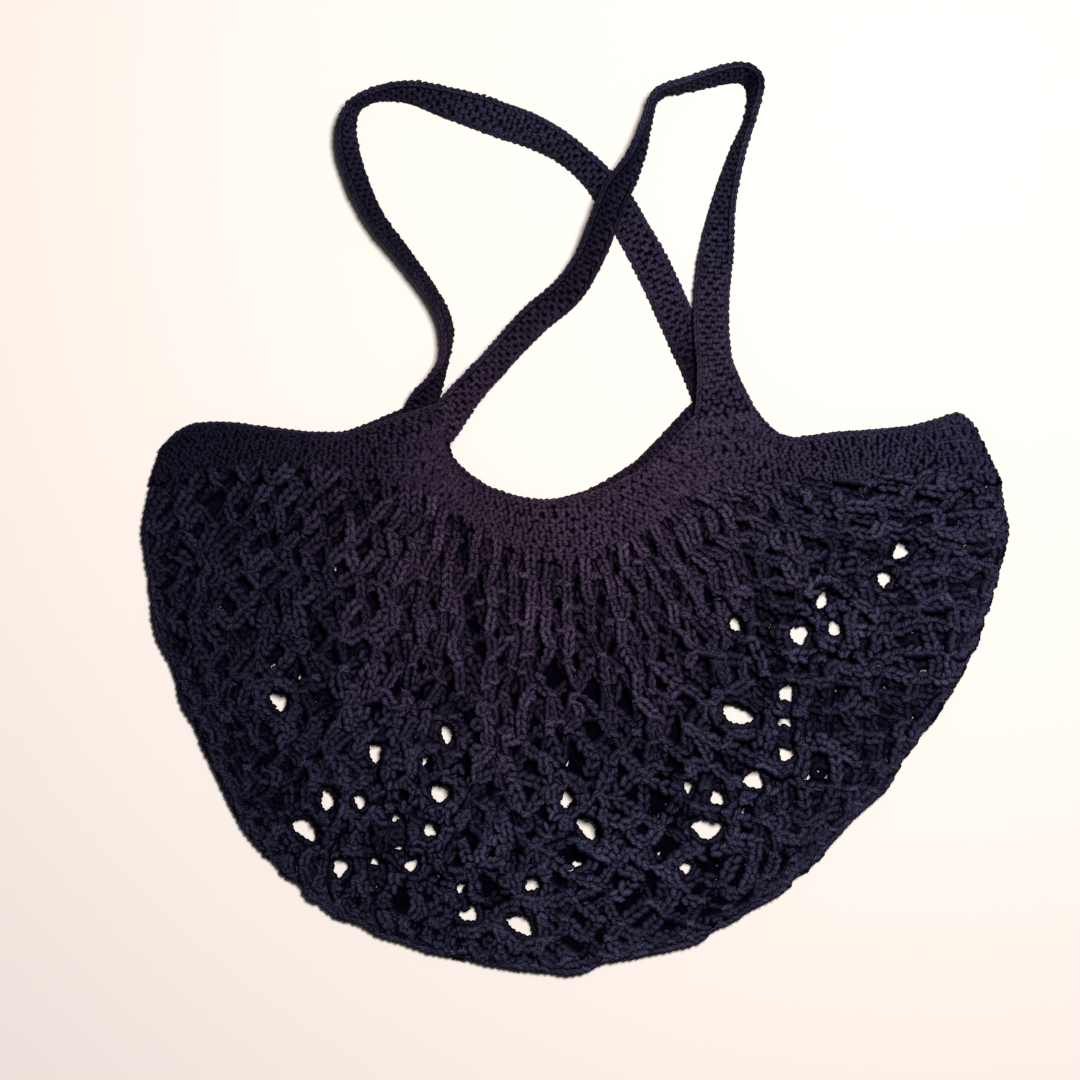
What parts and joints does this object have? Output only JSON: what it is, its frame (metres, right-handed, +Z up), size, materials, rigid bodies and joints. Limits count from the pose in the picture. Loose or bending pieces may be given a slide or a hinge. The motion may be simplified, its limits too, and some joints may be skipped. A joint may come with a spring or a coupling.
{
  "type": "crocheted mesh bag",
  "caption": "Crocheted cotton net bag lying flat: a round-bottomed mesh pouch with a close-stitched band round its scooped mouth and long shoulder straps, for carrying shopping.",
  "frame": {"origin": "on the surface that the bag lies on, under the middle of the whole bag with its straps", "axes": "+Z up from that surface, +Y from the round bottom to the straps, +X to the right as seen from above"},
  "size_m": [0.5177, 0.5453, 0.024],
  "materials": {
    "cotton_yarn": "matt plied cotton yarn, dark navy with a purple cast"
  },
  "bodies": {
    "root": {"net_body": "cotton_yarn", "top_band": "cotton_yarn", "strap_front": "cotton_yarn", "strap_back": "cotton_yarn"}
  },
  "joints": []
}
